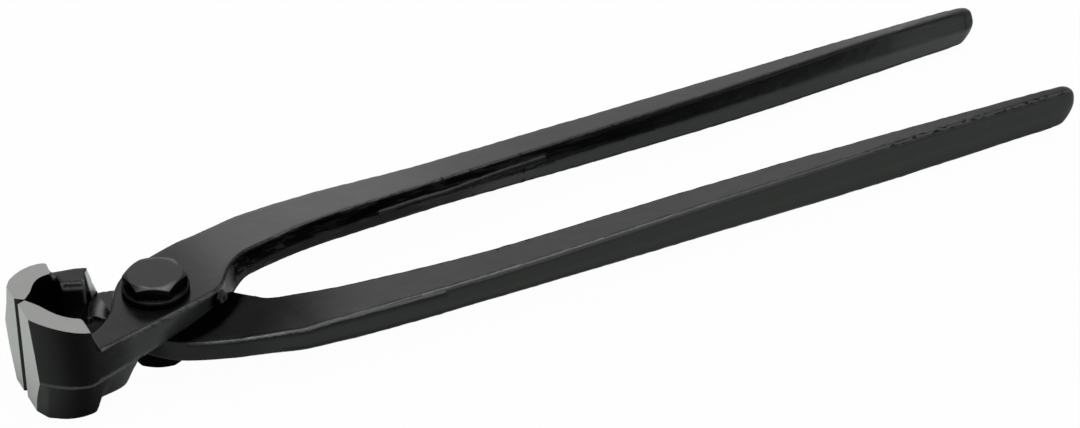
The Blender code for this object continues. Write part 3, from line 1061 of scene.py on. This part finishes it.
def thread_tree(material):
    """Geometry nodes that wind a sharp ridge up a cylinder."""
    tree = bpy.data.node_groups.new("wound_thread", "GeometryNodeTree")
    for name, kind in (("Radius", "NodeSocketFloat"), ("Pitch", "NodeSocketFloat"),
                       ("Turns", "NodeSocketFloat"), ("Ridge", "NodeSocketFloat"),
                       ("Points per turn", "NodeSocketInt"), ("Foot", "NodeSocketVector")):
        tree.interface.new_socket(name, in_out="INPUT", socket_type=kind)
    tree.interface.new_socket("Geometry", in_out="OUTPUT", socket_type="NodeSocketGeometry")
    graph = Graph(tree)
    given = graph.node("NodeGroupInput").socket.node
    size = {socket.name: Signal(graph, socket) for socket in given.outputs}
    helix = graph.node("GeometryNodeCurveSpiral", {}, {
        "Resolution": size["Points per turn"], "Rotations": size["Turns"],
        "Start Radius": size["Radius"], "End Radius": size["Radius"],
        "Height": size["Pitch"] * size["Turns"]})
    ridge = graph.node("GeometryNodeCurvePrimitiveCircle", {"mode": "RADIUS"},
                       {"Resolution": thread_ridge_sides, "Radius": size["Ridge"]})
    wound = graph.node("GeometryNodeCurveToMesh", {},
                       {"Curve": helix, "Profile Curve": ridge, "Fill Caps": True})
    placed = graph.node("GeometryNodeTransform", {},
                        {"Geometry": wound, "Translation": size["Foot"]})
    real = graph.node("GeometryNodeRealizeInstances", {}, {"Geometry": placed})
    coated = graph.node("GeometryNodeSetMaterial", {}, {"Geometry": real, "Material": material})
    graph.node("NodeGroupOutput", {}, {"Geometry": coated})
    return tree


def bolt_thread(material):
    """The bolt's thread where it shows in the mouth of the nut."""
    foot_low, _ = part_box("pivot_nut")
    foot = Vector((pivot.x, pivot.y, foot_low.z + thread_ridge))
    piece = object_from(bmesh.new(), "wound_thread")
    winding = piece.modifiers.new("winding", "NODES")
    winding.node_group = thread_tree(material)
    sizes = {"Radius": bolt_radius, "Pitch": thread_pitch, "Turns": thread_turns,
             "Ridge": thread_ridge, "Points per turn": thread_turn_points, "Foot": foot}
    for item in winding.node_group.interface.items_tree:
        if item.name in sizes:
            winding[item.identifier] = sizes[item.name]
    return applied(piece)


def stand_floor():
    """A pale floor that the jaws and the handle ends both rest on."""
    rise = min(vert.co.z / (vert.co.x - cad_low.x)
               for name in ("upper_lever", "lower_lever")
               for vert in frame["nodes"][name].data.vertices if vert.co.x > 0)
    mesh = bpy.data.meshes.new("floor")
    corners = [Vector((x, y, rise * (x - cad_low.x) - fastener_edge_round))
               for x, y in ((-floor_half, -floor_half), (floor_half, -floor_half),
                            (floor_half, floor_half), (-floor_half, floor_half))]
    mesh.from_pydata(corners, [], [(0, 1, 2, 3)])
    floor = bpy.data.objects.new("floor", mesh)
    floor.data.materials.append(floor_paint())
    bpy.context.scene.collection.objects.link(floor)


def soft_box(name, place, size, power):
    light = bpy.data.lights.new(name, "AREA")
    light.shape = "RECTANGLE"
    light.size, light.size_y = size
    light.energy = power
    lamp = bpy.data.objects.new(name, light)
    lamp.location = place
    lamp.rotation_euler = (lamp_target - place).to_track_quat("-Z", "Y").to_euler()
    bpy.context.scene.collection.objects.link(lamp)


def light_studio():
    world = bpy.data.worlds.new("studio")
    bpy.context.scene.world = world
    world.use_nodes = True
    graph = Graph(world.node_tree)
    seen = graph.node("ShaderNodeLightPath", output="Is Camera Ray")
    glossy = graph.node("ShaderNodeLightPath", output="Is Glossy Ray")
    level = seen * (1 - world_level) + glossy * world_mirrored + world_level
    sky = graph.node("ShaderNodeBackground", {}, {"Color": white, "Strength": level})
    graph.node("ShaderNodeOutputWorld", {}, {"Surface": sky})
    for lamp in lamps:
        soft_box(*lamp)


def set_camera():
    heading, pitch = camera_heading, camera_pitch
    ahead = Vector((-math.sin(heading) * math.cos(pitch), math.cos(heading) * math.cos(pitch),
                    -math.sin(pitch)))
    side = ahead.cross(Vector((0, 0, 1))).normalized()
    above = side.cross(ahead)
    right = side * math.cos(camera_roll) + above * math.sin(camera_roll)
    up = above * math.cos(camera_roll) - side * math.sin(camera_roll)
    camera = bpy.data.cameras.new("camera")
    camera.sensor_width = camera_sensor
    camera.lens = camera_lens
    camera.shift_x, camera.shift_y = camera_shift
    camera.clip_start, camera.clip_end = camera_clip
    stand = bpy.data.objects.new("camera", camera)
    turn = Matrix((right, up, -ahead)).transposed()
    stand.matrix_world = Matrix.Translation(camera_place) @ turn.to_4x4()
    bpy.context.scene.collection.objects.link(stand)
    bpy.context.scene.camera = stand


def main():
    # One ground steel, with a lighter tone painted on the nose and a darker one on the faces
    nose_steel = ground_steel("ground_nose", nose_marks, nose_lit_tone)
    face_steel = ground_steel("ground_face", face_marks, face_shaded_tone)
    oxide = black_oxide("black_oxide")
    for node_name, body, coat, lap_side in (("upper_lever", "upper", upper_grip_coat, -1),
                                            ("lower_lever", "lower", 0, 1)):
        lacquer = dark_lacquer(body + "_lacquer", coat)
        piece = lever(node_name, (lacquer, nose_steel, face_steel, face_steel), lap_side)
        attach(piece, body)
        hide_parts(node_name)
    for node_name in ("pivot_bolt", "head_washer", "pivot_nut"):
        piece = fastener(node_name, oxide)
        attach(piece, "lower")
        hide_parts(node_name)
    thread = bolt_thread(oxide)
    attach(thread, "lower")
    stand_floor()
    light_studio()
    set_camera()
    bpy.context.scene.view_settings.view_transform = "Standard"


main()
